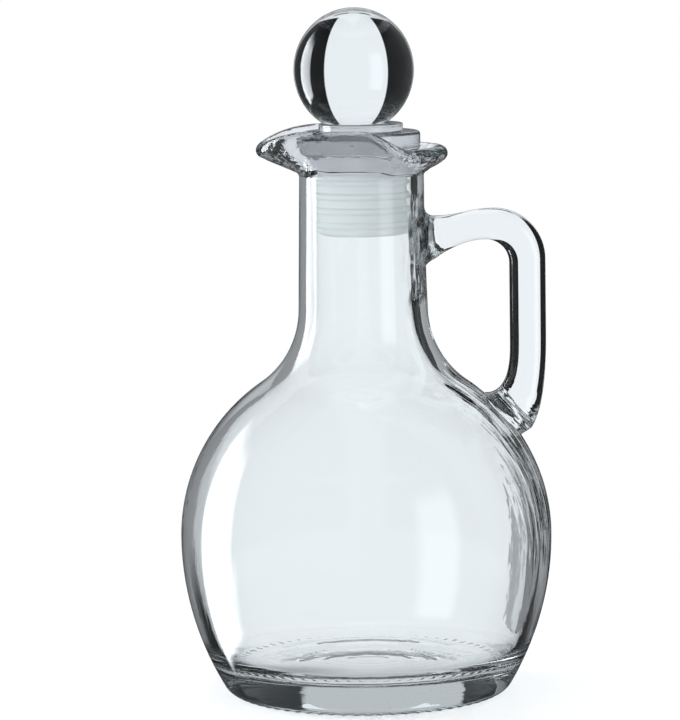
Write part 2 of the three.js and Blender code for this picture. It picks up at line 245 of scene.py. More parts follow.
# %% [markdown]
# Which of the levels a ray gets depends on its way so far, which the Light Path node counts. The world
# could be the same for all rays, but then the hollow belly would fill with dark lines. A ray that was
# mirrored inside a wall gets the ring at a lower level, and a dimmer one where it heads back to the
# camera. Where it heads left and not steeply down, or was mirrored in the far wall, it gets a plain grey.

# %% World: light that is mirrored inside a wall
MIRRORED_SHARE, MIRRORED_MOST, DEEP_MIRROR_LEVEL = 0.45, 3.4, 0.72
MIRRORED_BACK, MIRRORED_BACK_SHARE = (-0.3, 0), 0.4
UPPER_WALL_RISE, UPPER_WALL_SIDE, UPPER_WALL_LEVEL = (-0.32, -0.14), (-0.1, 0), 0.34
FAR_WALL_SIDE, FAR_WALL_SINK, FAR_WALL_LEVELS = (0.15, 0.3), (-0.06, 0.06), (0.85, 0.2)

world = bpy.data.worlds.new("studio")
world.use_nodes = True
scene.world = world
world.node_tree.nodes.clear()
studio = StudioWiring(world.node_tree)
heading = studio.add("ShaderNodeTexCoord")["Generated"]
ring_levels = studio.add("ShaderNodeGroup", {"node_tree": ring_group}, {"Direction": heading})
side, away, rise = studio.split(heading)
ray = studio.add("ShaderNodeLightPath")
past_wall = studio.more_than(ray["Transmission Depth"], 2)
past_vessel = studio.more_than(ray["Transmission Depth"], 4)

near_mirror = studio.highest(ring_levels["In Wall"], ring_levels["Reflected"])
near_mirror = studio.calculate("MINIMUM", studio.product(near_mirror, MIRRORED_SHARE), MIRRORED_MOST)
near_mirror = studio.product(near_mirror, studio.fade(away, *MIRRORED_BACK, MIRRORED_BACK_SHARE, 1))
up_left = studio.product(studio.fade(rise, *UPPER_WALL_RISE), studio.fade(side, *UPPER_WALL_SIDE, 1, 0))
near_mirror = studio.choose(up_left, near_mirror, UPPER_WALL_LEVEL)
far_side = studio.fade(studio.calculate("ABSOLUTE", side), *FAR_WALL_SIDE)
far_mirror = studio.product(far_side, studio.fade(rise, *FAR_WALL_SINK, 1, 0))
far_mirror = studio.choose(far_mirror, *FAR_WALL_LEVELS)
mirror_level = studio.choose(past_wall, near_mirror, far_mirror)
mirror_level = studio.choose(past_vessel, mirror_level, DEEP_MIRROR_LEVEL)
print("mirrored light takes", len(world.node_tree.nodes), "nodes")

# %% [markdown]
# The camera itself sees plain white. A ray through one wall sees the ring. Through two walls and more it
# sees white again, greyer after many, so that the belly stays clear from all sides. One that met a matt
# surface gets the even light of the room. All cases could be listed, but they overlap. Here each rule
# chooses over the ones before it, so the last one that fits a ray wins.

# %% World: level of every ray
WHITE = 1.0
PLAIN, STUDIO_TINT = (1, 1, 1, 1), (0.925, 0.965, 1, 1)
BEHIND_WALLS, MANY_WALLS_LEVEL = 1.03, 0.7
ROOM_LEVEL = 1.06
ROOM_SIDES, ROOM_LEVEL_IN_GLASS = (-0.9, 0.9), (3.3, 1.8)

in_glass = studio.more_than(ray["Transmission Depth"], 0)
mirrored = studio.more_than(ray["Glossy Depth"], 0)
scattered = studio.more_than(ray["Diffuse Depth"], 0)
level = studio.choose(past_wall, ring_levels["Through Glass"], BEHIND_WALLS)
level = studio.choose(past_vessel, level, MANY_WALLS_LEVEL)
level = studio.choose(mirrored, level, mirror_level)
level = studio.choose(in_glass, ring_levels["Reflected"], level)
room_level = studio.choose(in_glass, ROOM_LEVEL, studio.fade(side, *ROOM_SIDES, *ROOM_LEVEL_IN_GLASS))
level = studio.choose(scattered, level, room_level)
level = studio.choose(ray["Is Camera Ray"], level, WHITE)
tint = studio.blend(studio.highest(in_glass, mirrored), PLAIN, STUDIO_TINT)
sky = studio.add("ShaderNodeBackground", inputs={"Color": tint, "Strength": level})[0]
studio.add("ShaderNodeOutputWorld", inputs={"Surface": sky})
scene.cycles.max_bounces = 32
scene.cycles.transmission_bounces = 32
scene.cycles.glossy_bounces = 16
scene.cycles.diffuse_bounces = 8
print("the world has", len(world.node_tree.nodes), "nodes")

# %% [markdown]
# One large soft lamp overhead gives the bottle its shadow on the floor. The world alone would do so too,
# but more weakly. The lamp is hidden from reflections, because the ring already holds the lamps that show
# in the glass.

# %% Lamp
LAMP_SIZE = 0.9
LAMP_HEIGHT = 1.1
LAMP_BRIGHTNESS = 0.22

lamp = bpy.data.lights.new("overhead_lamp", "AREA")
lamp.shape = "SQUARE"
lamp.size = LAMP_SIZE
lamp.energy = LAMP_BRIGHTNESS * math.pi * LAMP_SIZE**2
lamp_holder = bpy.data.objects.new("overhead_lamp", lamp)
lamp_holder.location = (0, 0, LAMP_HEIGHT)
lamp_holder.visible_glossy = False
lamp_holder.visible_transmission = False
scene.collection.objects.link(lamp_holder)
print("lamp power:", round(lamp.energy, 2), "W")

# %% [markdown]
# The bottle stands on a plain white floor. A shadow catcher could stand in for it, but a real surface
# also shows through the base. One round face is enough, because nothing bends it.

# %% Floor
FLOOR_RADIUS = 0.8
FLOOR_CORNERS = 96


def place_mesh(name, mesh):
    data = bpy.data.meshes.new(name)
    mesh.to_mesh(data)
    mesh.free()
    piece = bpy.data.objects.new(name, data)
    scene.collection.objects.link(piece)
    return piece


floor_mesh = bmesh.new()
bmesh.ops.create_circle(floor_mesh, cap_ends=True, radius=FLOOR_RADIUS, segments=FLOOR_CORNERS)
floor = place_mesh("floor", floor_mesh)
print("floor is", 2 * FLOOR_RADIUS, "m across")

# %% [markdown]
# ## Finishes
#
# A finish is a node tree that knows the place on the piece. Pictures could be wrapped round the pieces,
# but a pattern that is worked out from the place in metres has no seam and fits any size. The wiring gets
# a few more helpers for that: places, distances, clouds of noise and the mix of two shaders.

# %% Wiring of a finish
class FinishWiring(StudioWiring):
    def place(self):
        return self.add("ShaderNodeTexCoord")["Object"]

    def distance(self, vector, point):
        options = {"operation": "DISTANCE"}
        return self.add("ShaderNodeVectorMath", options, {0: vector, 1: point})["Value"]

    def stretch(self, vector, factors):
        return self.add("ShaderNodeVectorMath", {"operation": "MULTIPLY"}, {0: vector, 1: factors})[0]

    def cloud(self, vector, scale, detail):
        inputs = {"Vector": vector, "Scale": scale, "Detail": detail}
        return self.add("ShaderNodeTexNoise", inputs=inputs)[0]

    def band(self, value, start, full, falling, gone):
        return self.product(self.fade(value, start, full), self.fade(value, falling, gone, 1, 0))

    def mix(self, share, otherwise, shader):
        return self.add("ShaderNodeMixShader", inputs={0: share, 1: otherwise, 2: shader})[0]


def new_finish(name):
    finish = bpy.data.materials.new(name)
    finish.use_nodes = True
    finish.node_tree.nodes.clear()
    return finish, FinishWiring(finish.node_tree)


print("helpers for finishes:", helpers_of(FinishWiring))

# %% [markdown]
# Close to the bottle the floor is an ordinary matt surface, so the bottle's shadow lies on it, and
# further out it fades into the white of the background. It could be matt for every ray, but then the
# stripes on the glass would break off above the heel. Rays that were mirrored or went through one wall
# only therefore pass it and meet the ring of light below the horizon. Through the whole bottle the floor
# shows again as a glowing white, with a painted shade under the base that is darker towards the front,
# and a painted dark patch at the front left.

# %% Finish of the floor
FLOOR_WHITE = (0.96, 0.96, 0.96, 1)
FLOOR_FADES_OUT = (0.09, 0.24)
BASE_RADIUS, BASE_BLUR_END, BASE_END = 0.035, 0.049, 0.056
PAINTED_SHADE_FRONT, PAINTED_SHADE_BACK = 0.5, 0.95
PAINTED_PATCH_PLACE, PAINTED_PATCH_RADIUS, PAINTED_PATCH_LEVEL = (-0.019, -0.016, 0), 0.018, 0.45

floor_finish, matt = new_finish("floor_white")
floor_place = matt.place()
reach = matt.distance(floor_place, (0, 0, 0))
# Painted shade: under the base, the floor seen through the bottle glows darker towards the front, and
# darker still in a painted dark patch at the front left.
front_to_back = matt.split(floor_place)[1]
painted_base_shade = matt.fade(front_to_back, -BASE_RADIUS, BASE_RADIUS, PAINTED_SHADE_FRONT, PAINTED_SHADE_BACK)
painted_base_shade = matt.choose(matt.fade(reach, BASE_RADIUS, BASE_BLUR_END), painted_base_shade, WHITE)
from_patch = matt.distance(floor_place, PAINTED_PATCH_PLACE)
painted_dark_patch = matt.fade(from_patch, 0, PAINTED_PATCH_RADIUS, PAINTED_PATCH_LEVEL, 1)
floor_ray = matt.add("ShaderNodeLightPath")
through_bottle = matt.more_than(floor_ray["Transmission Depth"], 2)
through_wall = matt.more_than(floor_ray["Transmission Depth"], 0)
first_wall = matt.calculate("SUBTRACT", through_wall, through_bottle)
off_base = matt.product(through_bottle, matt.fade(reach, BASE_BLUR_END, BASE_END))
passes = matt.highest(first_wall, matt.more_than(floor_ray["Glossy Depth"], 0), off_base)
glow_level = matt.choose(through_bottle, WHITE, matt.product(painted_base_shade, painted_dark_patch))
glow_tint = matt.blend(through_bottle, PLAIN, STUDIO_TINT)
glow = matt.add("ShaderNodeEmission", inputs={"Color": glow_tint, "Strength": glow_level})[0]
shade = matt.add("ShaderNodeBsdfDiffuse", inputs={"Color": FLOOR_WHITE})[0]
seen_floor = matt.mix(matt.highest(matt.fade(reach, *FLOOR_FADES_OUT), through_bottle), shade, glow)
floor_skin = matt.mix(passes, seen_floor, matt.add("ShaderNodeBsdfTransparent")[0])
matt.add("ShaderNodeOutputMaterial", inputs={"Surface": floor_skin})
floor.data.materials.append(floor_finish)
print("floor finish has", len(floor_finish.node_tree.nodes), "nodes")

# %% [markdown]
# Photographers stand cards behind glass to draw its edges. The ring of light could hold their stripes
# too, but it is as far as the horizon, and these have to stay close to the base. A card here is one
# upright face. It shines for light that has met a given number of surfaces and is clear for all other
# light, so that it draws one place of the glass alone.

# %% How a card is stood and painted
def stand_card(name, behind, half_width, bottom, top):
    mesh = bmesh.new()
    bmesh.ops.create_grid(mesh, x_segments=1, y_segments=1, size=1)
    bmesh.ops.scale(mesh, verts=mesh.verts, vec=(half_width, (top - bottom) / 2, 1))
    bmesh.ops.rotate(mesh, verts=mesh.verts, matrix=Matrix.Rotation(math.pi / 2, 3, "X"))
    bmesh.ops.translate(mesh, verts=mesh.verts, vec=(0, behind, (top + bottom) / 2))
    card = place_mesh(name, mesh)
    card.visible_camera = False
    card.visible_diffuse = False
    card.visible_glossy = False
    card.visible_shadow = False
    return card


def paint_card(card, half_width, stops, fades, walls):
    finish, wires = new_finish(card.name)
    across, _, height = wires.split(wires.place())
    strength = wires.ramp(across, -half_width, half_width, stops)
    walls_passed = wires.add("ShaderNodeLightPath")["Transmission Depth"]
    enough = wires.calculate("GREATER_THAN", walls_passed, walls[0] - 0.5)
    not_too_many = wires.calculate("LESS_THAN", walls_passed, walls[1] + 0.5)
    shown = wires.product(enough, not_too_many, wires.fade(height, *fades, 1, 0))
    light = wires.add("ShaderNodeEmission", inputs={"Color": STUDIO_TINT, "Strength": strength})[0]
    skin = wires.mix(shown, wires.add("ShaderNodeBsdfTransparent")[0], light)
    wires.add("ShaderNodeOutputMaterial", inputs={"Surface": skin})
    card.data.materials.append(finish)


print("helpers for cards:", stand_card.__name__, paint_card.__name__)

# %% [markdown]
# Light straight out of the thick base meets the low card: it is grey in its middle and black beside it,
# which draws the heel as a grey panel between two dark ones. Light through the whole belly meets the tall
# card, whose grey and black strips at the right draw the bands below the handle. One card could do both,
# but the two kinds of light need stripes in other places.

# %% Cards behind the bottle
LOW_CARD = {"behind": 0.09, "half_width": 0.05, "bottom": 0.0, "top": 0.032}
LOW_CARD_FADES = (0.032, 0.033)
LOW_CARD_WALLS = (0, 2)
LOW_CARD_STOPS = (
    (-0.05, 0.012), (-0.0195, 0.012), (-0.0185, 0.6), (0.0092, 0.6), (0.0102, 0.012), (0.05, 0.012),
)
TALL_CARD = {"behind": 0.12, "half_width": 0.16, "bottom": -0.03, "top": 0.092}
TALL_CARD_FADES = (0.074, 0.092)
TALL_CARD_WALLS = (3, 4)
TALL_CARD_STOPS = (
    (-0.16, 1.0), (-0.15, 0.6), (-0.08, 0.6), (-0.07, 1.0), (0.0575, 1.0), (0.059, 0.42),
    (0.0645, 0.42), (0.0665, 0.8), (0.075, 0.8), (0.078, 0.04), (0.145, 0.03), (0.16, 1.0),
)

low_card = stand_card("low_card", **LOW_CARD)
paint_card(low_card, LOW_CARD["half_width"], LOW_CARD_STOPS, LOW_CARD_FADES, LOW_CARD_WALLS)
tall_card = stand_card("tall_card", **TALL_CARD)
paint_card(tall_card, TALL_CARD["half_width"], TALL_CARD_STOPS, TALL_CARD_FADES, TALL_CARD_WALLS)
print("cards stand", LOW_CARD["behind"] / MM, "and", TALL_CARD["behind"] / MM, "mm behind the axis")

# %% [markdown]
# ## Glass
#
# Table glass is never quite flat: it carries long soft waves from blowing and fire polishing. The mesh
# could carry them, but it would need far smaller faces. A very shallow bump bends each highlight and each
# line seen through the wall in the same way. All glass here shares one group that puts out the height of
# such waves.

# %% Group: waves of blown glass
WAVE_DEFAULTS = {"Scale": 60.0, "Stretch": 0.35, "Fine Share": 0.2}
FINER = 4.0

wave_group = bpy.data.node_groups.new("blown_waves", "ShaderNodeTree")
for socket_name, default in WAVE_DEFAULTS.items():
    socket = wave_group.interface.new_socket(socket_name, in_out="INPUT", socket_type="NodeSocketFloat")
    socket.default_value = default
wave_group.interface.new_socket("Height", in_out="OUTPUT", socket_type="NodeSocketFloat")
waves = FinishWiring(wave_group)
wave_inputs = waves.add("NodeGroupInput")
drawn_out = waves.add("ShaderNodeCombineXYZ", inputs={0: 1.0, 1: 1.0, 2: wave_inputs["Stretch"]})[0]
wave_place = waves.stretch(waves.place(), drawn_out)
broad = waves.cloud(wave_place, wave_inputs["Scale"], detail=1.0)
fine = waves.cloud(wave_place, waves.product(wave_inputs["Scale"], FINER), detail=2.0)
waves.add("NodeGroupOutput", inputs={"Height": waves.choose(wave_inputs["Fine Share"], broad, fine)})
print("wave group has", len(wave_group.nodes), "nodes")

# %% [markdown]
# The glass itself is the Principled shader with full transmission, so that it bends light and mirrors it
# by one rule. A Glass shader could do that too, but the export reads the Principled one. A little colour
# is lost on the way through the body. A volume shows that better than a painted surface, because thick
# places get darker.

# %% Clear glass
GLASS_BENDING = 1.52
GLASS_DENSITY = 20.0
CLEAR_TONE = (0.985, 0.995, 0.995, 1)
CLEAR_DEPTH = (0.92, 0.945, 0.95, 1)


def clear_glass(name, wave_size, stretch, wave_depth, roughness, depth_colour, marks=None, tone=None):
    finish, wires = new_finish(name)
    group_inputs = {"Scale": 1 / wave_size, "Stretch": stretch}
    ripple = wires.add("ShaderNodeGroup", {"node_tree": wave_group}, group_inputs)["Height"]
    height = wires.product(ripple, wave_depth)
    if marks:
        height = wires.total(height, marks(wires))
    bump = wires.add("ShaderNodeBump", inputs={"Strength": 1.0, "Distance": 1.0, "Height": height})[0]
    look = {
        "Base Color": tone(wires) if tone else CLEAR_TONE,
        "Roughness": roughness,
        "IOR": GLASS_BENDING,
        "Transmission Weight": 1.0,
        "Normal": bump,
    }
    skin = wires.add("ShaderNodeBsdfPrincipled", inputs=look)[0]
    body = {"Color": depth_colour, "Density": GLASS_DENSITY}
    depth = wires.add("ShaderNodeVolumeAbsorption", inputs=body)[0]
    wires.add("ShaderNodeOutputMaterial", inputs={"Surface": skin, "Volume": depth})
    return finish


print("glass bends light by", GLASS_BENDING)

# %% [markdown]
# ## Turning on a lathe
#
# The vessel, the plug and the sleeve are all round about the same axis. They could be stacked from
# cylinders and spheres, which leaves seams. Here each is one line of points in the half-plane of radius
# and height that is spun once round. Points that fall together on the axis are merged, and then the faces
# are turned outwards.

# %% Lathe helpers
MERGE_BELOW = 0.001 * MM
SHARP_FROM = math.radians(40)


def arc(middle_radius, middle_height, radius, start, end, steps):
    points = []
    for step in range(steps + 1):
        angle = start + (end - start) * step / steps
        across, up = radius * math.cos(angle), radius * math.sin(angle)
        points.append((middle_radius + across, middle_height + up))
    return points


def straight(start, end, steps):
    points = []
    for step in range(1, steps + 1):
        points.append(tuple(a + (b - a) * step / steps for a, b in zip(start, end)))
    return points


def turn_on_lathe(profile, steps):
    mesh = bmesh.new()
    line = [mesh.verts.new((radius, 0, height)) for radius, height in profile]
    edges = [mesh.edges.new(pair) for pair in zip(line, line[1:])]
    bmesh.ops.spin(
        mesh, geom=line + edges, cent=(0, 0, 0), axis=(0, 0, 1), angle=2 * math.pi, steps=steps,
        use_merge=True)
    bmesh.ops.remove_doubles(mesh, verts=mesh.verts, dist=MERGE_BELOW)
    bmesh.ops.recalc_face_normals(mesh, faces=mesh.faces)
    return mesh


def smooth(data):
    data.shade_smooth()
    data.set_sharp_from_angle(angle=SHARP_FROM)


def make_piece(name, mesh, finish):
    piece = place_mesh(name, mesh)
    smooth(piece.data)
    piece.data.materials.append(finish)
    piece.data.calc_loop_triangles()
    print(name, "has", len(piece.data.loop_triangles), "triangles")
    return piece


print("edges show as sharp from", round(math.degrees(SHARP_FROM)), "degrees")

# %% [markdown]
# ## Vessel
#
# The belly is a ball that runs into a longer arc below, a rounded heel and a standing ring, and a hollow
# shoulder above that ends in the neck. A free curve could follow that outline, but a few arcs are easier
# to change, and each of them leaves the one before it without a corner.

# %% Arcs of the vessel's wall
BELLY_RADIUS = 51 * MM
BELLY_HEIGHT = 43.5 * MM
LOWER_WALL_ARC = 80.4 * MM
LOWER_ARC_CENTRE = BELLY_RADIUS - LOWER_WALL_ARC
HEEL_STEPS, LOWER_STEPS, BALL_STEPS, SHOULDER_STEPS = 10, 18, 26, 18


def fillet_centre(wall_arc, fillet, plane):
    drop = BELLY_HEIGHT - plane - fillet
    return LOWER_ARC_CENTRE + math.sqrt((wall_arc - fillet) ** 2 - drop**2)


def lower_wall(wall_arc, fillet, plane):
    centre = fillet_centre(wall_arc, fillet, plane)
    tangent = math.atan2(plane + fillet - BELLY_HEIGHT, centre - LOWER_ARC_CENTRE)
    rounding = arc(centre, plane + fillet, fillet, -math.pi / 2, tangent, HEEL_STEPS)
    wall = arc(LOWER_ARC_CENTRE, BELLY_HEIGHT, wall_arc, tangent, 0, LOWER_STEPS)
    return rounding + wall[1:]


def upper_wall(belly, shoulder, neck):
    centre = neck + shoulder
    lift = math.sqrt((belly + shoulder) ** 2 - centre**2)
    tangent = math.atan2(lift, centre)
    ball = arc(0, BELLY_HEIGHT, belly, 0, tangent, BALL_STEPS)
    hollow = arc(centre, BELLY_HEIGHT + lift, shoulder, tangent - math.pi, -math.pi, SHOULDER_STEPS)
    return ball[1:] + hollow[1:]


print("the lower arc has its centre", round(LOWER_ARC_CENTRE / MM, 1), "mm from the axis")

# %% [markdown]
# The wall is a few millimetres thick and the floor is thicker. A thin shell could be thickened by a
# modifier, but then floor and wall would be equally thick. So the inner wall is a line of its own, from
# the same two functions with other sizes.

# %% Outer and inner wall of the vessel
HEEL_FILLET = 5 * MM
SHOULDER_ARC = 25 * MM
NECK_BASE_RADIUS = 17.7 * MM
NECK_TOP_RADIUS = 17 * MM
NECK_TOP_HEIGHT = 142.5 * MM
BORE_RADIUS = 13.5 * MM
WALL = 3.4 * MM
FLOOR_HEIGHT = 9.5 * MM
INSIDE_HEEL_FILLET = 9 * MM
NECK_STEPS, BORE_STEPS = 14, 10

outside = lower_wall(LOWER_WALL_ARC, HEEL_FILLET, 0)
outside += upper_wall(BELLY_RADIUS, SHOULDER_ARC, NECK_BASE_RADIUS)
neck_base_height = outside[-1][1]
outside += straight(outside[-1], (NECK_TOP_RADIUS, NECK_TOP_HEIGHT), NECK_STEPS)
inside = lower_wall(LOWER_WALL_ARC - WALL, INSIDE_HEEL_FILLET, FLOOR_HEIGHT)
inside += upper_wall(BELLY_RADIUS - WALL, SHOULDER_ARC + WALL, BORE_RADIUS)
inside += straight(inside[-1], (BORE_RADIUS, NECK_TOP_HEIGHT), BORE_STEPS)
print("wall line has", len(outside), "points outside and", len(inside), "inside")

# %% [markdown]
# The floor of a blown bottle carries rings where the glass settled, and its underside is pushed up a
# little so that the bottle stands on a ring. A bump could draw the rings, but they bend what is seen
# through the thick floor, so both are short lines whose height follows a soft wave.

# %% Floor rings and push-up
PUSH_UP = 2 * MM
STANDING_RING_WIDTH = 4 * MM
FLOOR_RING_PITCH = 4.6 * MM
FLOOR_RING_DEPTH = 0.04 * MM
UNDERSIDE_STEPS, FLOOR_STEPS = 24, 44


def ease(share):
    return (1 - math.cos(math.pi * min(max(share, 0), 1))) / 2


ring_outer = fillet_centre(LOWER_WALL_ARC, HEEL_FILLET, 0)
ring_inner = ring_outer - STANDING_RING_WIDTH
underside = [(0, PUSH_UP)]
for radius, height in straight((0, PUSH_UP), (ring_inner, 0), UNDERSIDE_STEPS):
    underside.append((radius, PUSH_UP * ease(height / PUSH_UP)))
floor_line = []
for radius, height in straight(inside[0], (0, FLOOR_HEIGHT), FLOOR_STEPS):
    swing = math.cos(2 * math.pi * radius / FLOOR_RING_PITCH)
    calm = min(1, (inside[0][0] - radius) / FLOOR_RING_PITCH)
    floor_line.append((radius, height + FLOOR_RING_DEPTH * swing * calm))
print("standing ring from", round(ring_inner / MM, 1), "to", round(ring_outer / MM, 1), "mm radius")

# %% [markdown]
# The lip starts as a straight collar on the neck that gets thicker towards a round rim. It could be
# modelled as a separate ring and joined on, but on the real bottle it is the neck's own glass, so it is
# spun in one go with the wall.

# %% Spin the vessel with a straight collar
LIP_BEND = 3 * MM
RIM_RADIUS = 2.2 * MM
CREST_LENGTH = 12.1 * MM
BORE_EDGE = 2.3 * MM
MOUTH_BEVEL = 1.1 * MM
NECK_WALL_MIDDLE = (NECK_TOP_RADIUS + BORE_RADIUS + MOUTH_BEVEL) / 2
LIP_ROOT_HALF = (NECK_TOP_RADIUS - BORE_RADIUS - MOUTH_BEVEL) / 2
COLLAR_STEPS, RIM_STEPS, STANDING_STEPS = 24, 14, 5
FOOT_COUNT = 68
COLUMNS_PER_FOOT = 3


def collar_side(sign):
    points = []
    for step in range(1, COLLAR_STEPS + 1):
        share = step / COLLAR_STEPS
        half = LIP_ROOT_HALF + (RIM_RADIUS - LIP_ROOT_HALF) * share
        if sign < 0 and share * CREST_LENGTH < BORE_EDGE:
            half = NECK_WALL_MIDDLE - BORE_RADIUS
        points.append((NECK_WALL_MIDDLE + sign * half, NECK_TOP_HEIGHT + share * CREST_LENGTH))
    return points


rim = arc(NECK_WALL_MIDDLE, NECK_TOP_HEIGHT + CREST_LENGTH, RIM_RADIUS, 0, math.pi, RIM_STEPS)
collar = collar_side(1) + rim[1:-1] + collar_side(-1)[::-1]
standing = straight(underside[-1], outside[0], STANDING_STEPS)
vessel_line = underside + standing + outside[1:] + collar + inside[::-1] + floor_line
vessel = turn_on_lathe(vessel_line, COLUMNS_PER_FOOT * FOOT_COUNT)
print("vessel skin has", len(vessel.faces), "faces")

# %% [markdown]
# While it is hot, the collar is folded outwards with a tool: far at the spout, little at the two crests
# beside it and more again above the handle. Moving points outwards would thin the glass, so every ring of
# the collar is bent along an arc, which keeps the thickness. The tool leaves shallow dents on the outside.

# %% Fold the lip
SPOUT_FOLD, CREST_FOLD, HANDLE_SIDE_FOLD = 63, 23, 52
SPOUT_LENGTH, HANDLE_SIDE_LENGTH = 13.5 * MM, 8.4 * MM
CREST_START, CREST_END, LOBE_START = 54, 90, 130
BEND_CENTRE = NECK_WALL_MIDDLE + LIP_BEND
DENT_SIZE = 4.5 * MM
DENT_DEPTH = 0.45 * MM
DENTS_START = CREST_LENGTH / 3


def radius_of(corner):
    return math.hypot(corner.co.x, corner.co.y)


def round_the_lip(degrees, spout, crest, handle_side):
    to_crest = ease(degrees / CREST_START)
    to_handle = ease((degrees - CREST_END) / (LOBE_START - CREST_END))
    return spout + (crest - spout) * to_crest + (handle_side - crest) * to_handle


for corner in vessel.verts:
    along = corner.co.z - NECK_TOP_HEIGHT
    if along < MERGE_BELOW:
        continue
    radius = radius_of(corner)
    outer_side = ease((radius - NECK_WALL_MIDDLE) / RIM_RADIUS) * ease(along / DENTS_START)
    dent = DENT_DEPTH * outer_side * max(0, noise.noise(corner.co / DENT_SIZE))
    degrees = math.degrees(math.acos(min(max(-corner.co.x / radius, -1), 1)))
    fold = math.radians(round_the_lip(degrees, SPOUT_FOLD, CREST_FOLD, HANDLE_SIDE_FOLD))
    length = round_the_lip(degrees, SPOUT_LENGTH, CREST_LENGTH, HANDLE_SIDE_LENGTH)
    reached = along * length / CREST_LENGTH if along <= CREST_LENGTH else along - CREST_LENGTH + length
    bent = min(reached / LIP_BEND, fold)
    beyond = reached - LIP_BEND * bent
    lever = LIP_BEND - (radius - dent - NECK_WALL_MIDDLE)
    folded = BEND_CENTRE - lever * math.cos(bent) + beyond * math.sin(bent)
    corner.co.x *= folded / radius
    corner.co.y *= folded / radius
    corner.co.z = NECK_TOP_HEIGHT + lever * math.sin(bent) + beyond * math.cos(bent)
bmesh.ops.recalc_face_normals(vessel, faces=vessel.faces)
lip_reach = max(radius_of(corner) for corner in vessel.verts if corner.co.z > NECK_TOP_HEIGHT)
print("lip reaches", round(lip_reach / MM, 1), "mm from the axis at its widest")

# %% [markdown]
# Under the heel, just outside the standing ring, runs a row of small pressed feet. Separate lumps could
# be joined on, but the feet are the heel's own glass. The edges that run round the heel are cut once
# more, which leaves six columns of corners for each foot, and the columns between the feet are lifted in
# a soft wave.

# %% Feet of the standing ring
FOOT_RISE = 0.6 * MM
FOOT_ZONE_HEIGHT = 1.2 * MM
FOOT_ZONE_START = ring_outer + 0.2 * MM


def on_foot_ring(corner):
    return corner.co.z < FOOT_ZONE_HEIGHT and FOOT_ZONE_START < radius_of(corner)


foot_edges = [
    edge for edge in vessel.edges
    if all(on_foot_ring(corner) for corner in edge.verts)
    and abs(radius_of(edge.verts[0]) - radius_of(edge.verts[1])) < MERGE_BELOW
]
bmesh.ops.subdivide_edges(vessel, edges=foot_edges, cuts=1, use_grid_fill=True)
foot_corners = [corner for corner in vessel.verts if on_foot_ring(corner)]
for corner in foot_corners:
    between = (1 - math.cos(FOOT_COUNT * math.atan2(corner.co.y, corner.co.x))) / 2
    corner.co.z += FOOT_RISE * between * (1 - corner.co.z / FOOT_ZONE_HEIGHT)
print("corners of the feet:", len(foot_corners))

# %% [markdown]
# Where the hot handle was pressed on, it dragged the soft skin of the neck and of the belly into long
# furrows. They could be sculpted by hand. Here corners of the outer skin near the handle are pushed in by
# a noise that changes fast across the handle and slowly along it. The finer streaks between them come
# with the finish.

# %% Furrows beside the handle
FURROW_DEPTH = 0.35 * MM


def in_mm(*sizes):
    return tuple(size * MM for size in sizes)


NECK_FURROWS = in_mm(14, 8, 106, 113, 135, 139)
NECK_FURROW_RATES = (400, 50)
BELLY_FURROWS = in_mm(32, 18, 46, 78, 88, 96)
BELLY_FURROW_RATES = (160, 25)


def furrow_share(place, half_width, nearest, start, full, falling, gone):
    across = 1 - ease(2 * abs(place.y) / half_width - 1)
    above = ease((place.z - start) / (full - start))
    below = 1 - ease((place.z - falling) / (gone - falling))
    return across * above * below * ease((place.x - nearest) / nearest)


def furrow_noise(place, across, along):
    return 0.5 + 0.5 * noise.noise(Vector((along * place.x, across * place.y, along * place.z)))


vessel.normal_update()
furrowed = 0
for corner in vessel.verts:
    if corner.normal.x * corner.co.x + corner.normal.y * corner.co.y <= 0:
        continue
    depth = furrow_share(corner.co, *NECK_FURROWS) * furrow_noise(corner.co, *NECK_FURROW_RATES)
    depth += furrow_share(corner.co, *BELLY_FURROWS) * furrow_noise(corner.co, *BELLY_FURROW_RATES)
    corner.co -= corner.normal * FURROW_DEPTH * depth
    furrowed += depth > 0
print("corners in the furrows:", furrowed)

# %% [markdown]
# ## Handle
#
# The handle is a flat strap with rounded edges that leaves the neck, bends down and lands on the belly. A
# curve with a round bevel would be quick, but the strap is wider at the ends than in the middle. So its
# inner and its outer edge are two lines of arcs and curves with the same number of stations.

# %% Places of the handle
FINGER_ROOM = 22.4 * MM
UPRIGHT_WIDTH = 9.9 * MM
ARM_DROP = 11.2 * MM
ARM_ROOT_HEIGHT = 11.6 * MM
KNUCKLE_RISE = 1.9 * MM
KNUCKLE_HEIGHT = 8.5 * MM
FOOT_PROUD = 3.3 * MM
FOOT_INNER_ANGLE, FOOT_HEEL_ANGLE = 49.5, 32.4


def belly_point(degrees, proud):
    angle = math.radians(degrees)
    reach = BELLY_RADIUS + proud
    return Vector((reach * math.cos(angle), BELLY_HEIGHT + reach * math.sin(angle)))


arm_top = NECK_TOP_HEIGHT - ARM_DROP
arm_bottom = arm_top - ARM_ROOT_HEIGHT
knuckle_top = arm_top + KNUCKLE_RISE
knuckle_bottom = knuckle_top - KNUCKLE_HEIGHT
upright_inner = NECK_BASE_RADIUS + FINGER_ROOM
upright_outer = upright_inner + UPRIGHT_WIDTH
root = NECK_TOP_RADIUS
heel = belly_point(FOOT_HEEL_ANGLE, FOOT_PROUD)
toe = belly_point(FOOT_INNER_ANGLE, 0)
print("the handle reaches", round(upright_outer / MM, 1), "mm from the axis")

# %% [markdown]
# Both edges leave the neck in a small fillet, run out along the arm, turn down at the knuckle and come in
# to the belly. They could be drawn freehand. Here each stretch is a quarter circle or a curve with two to
# four control points, so that a change of one size moves all that hangs on it.

# %% Edges of the handle
OUTER_BEND = 14 * MM
INNER_BEND = 6.5 * MM
ROOT_FILLET = 3 * MM
FOOT_BEND = 13 * MM
ROOT_STEPS, ARM_STEPS, BEND_STEPS, UPRIGHT_STEPS, FOOT_STEPS = 8, 10, 18, 8, 18


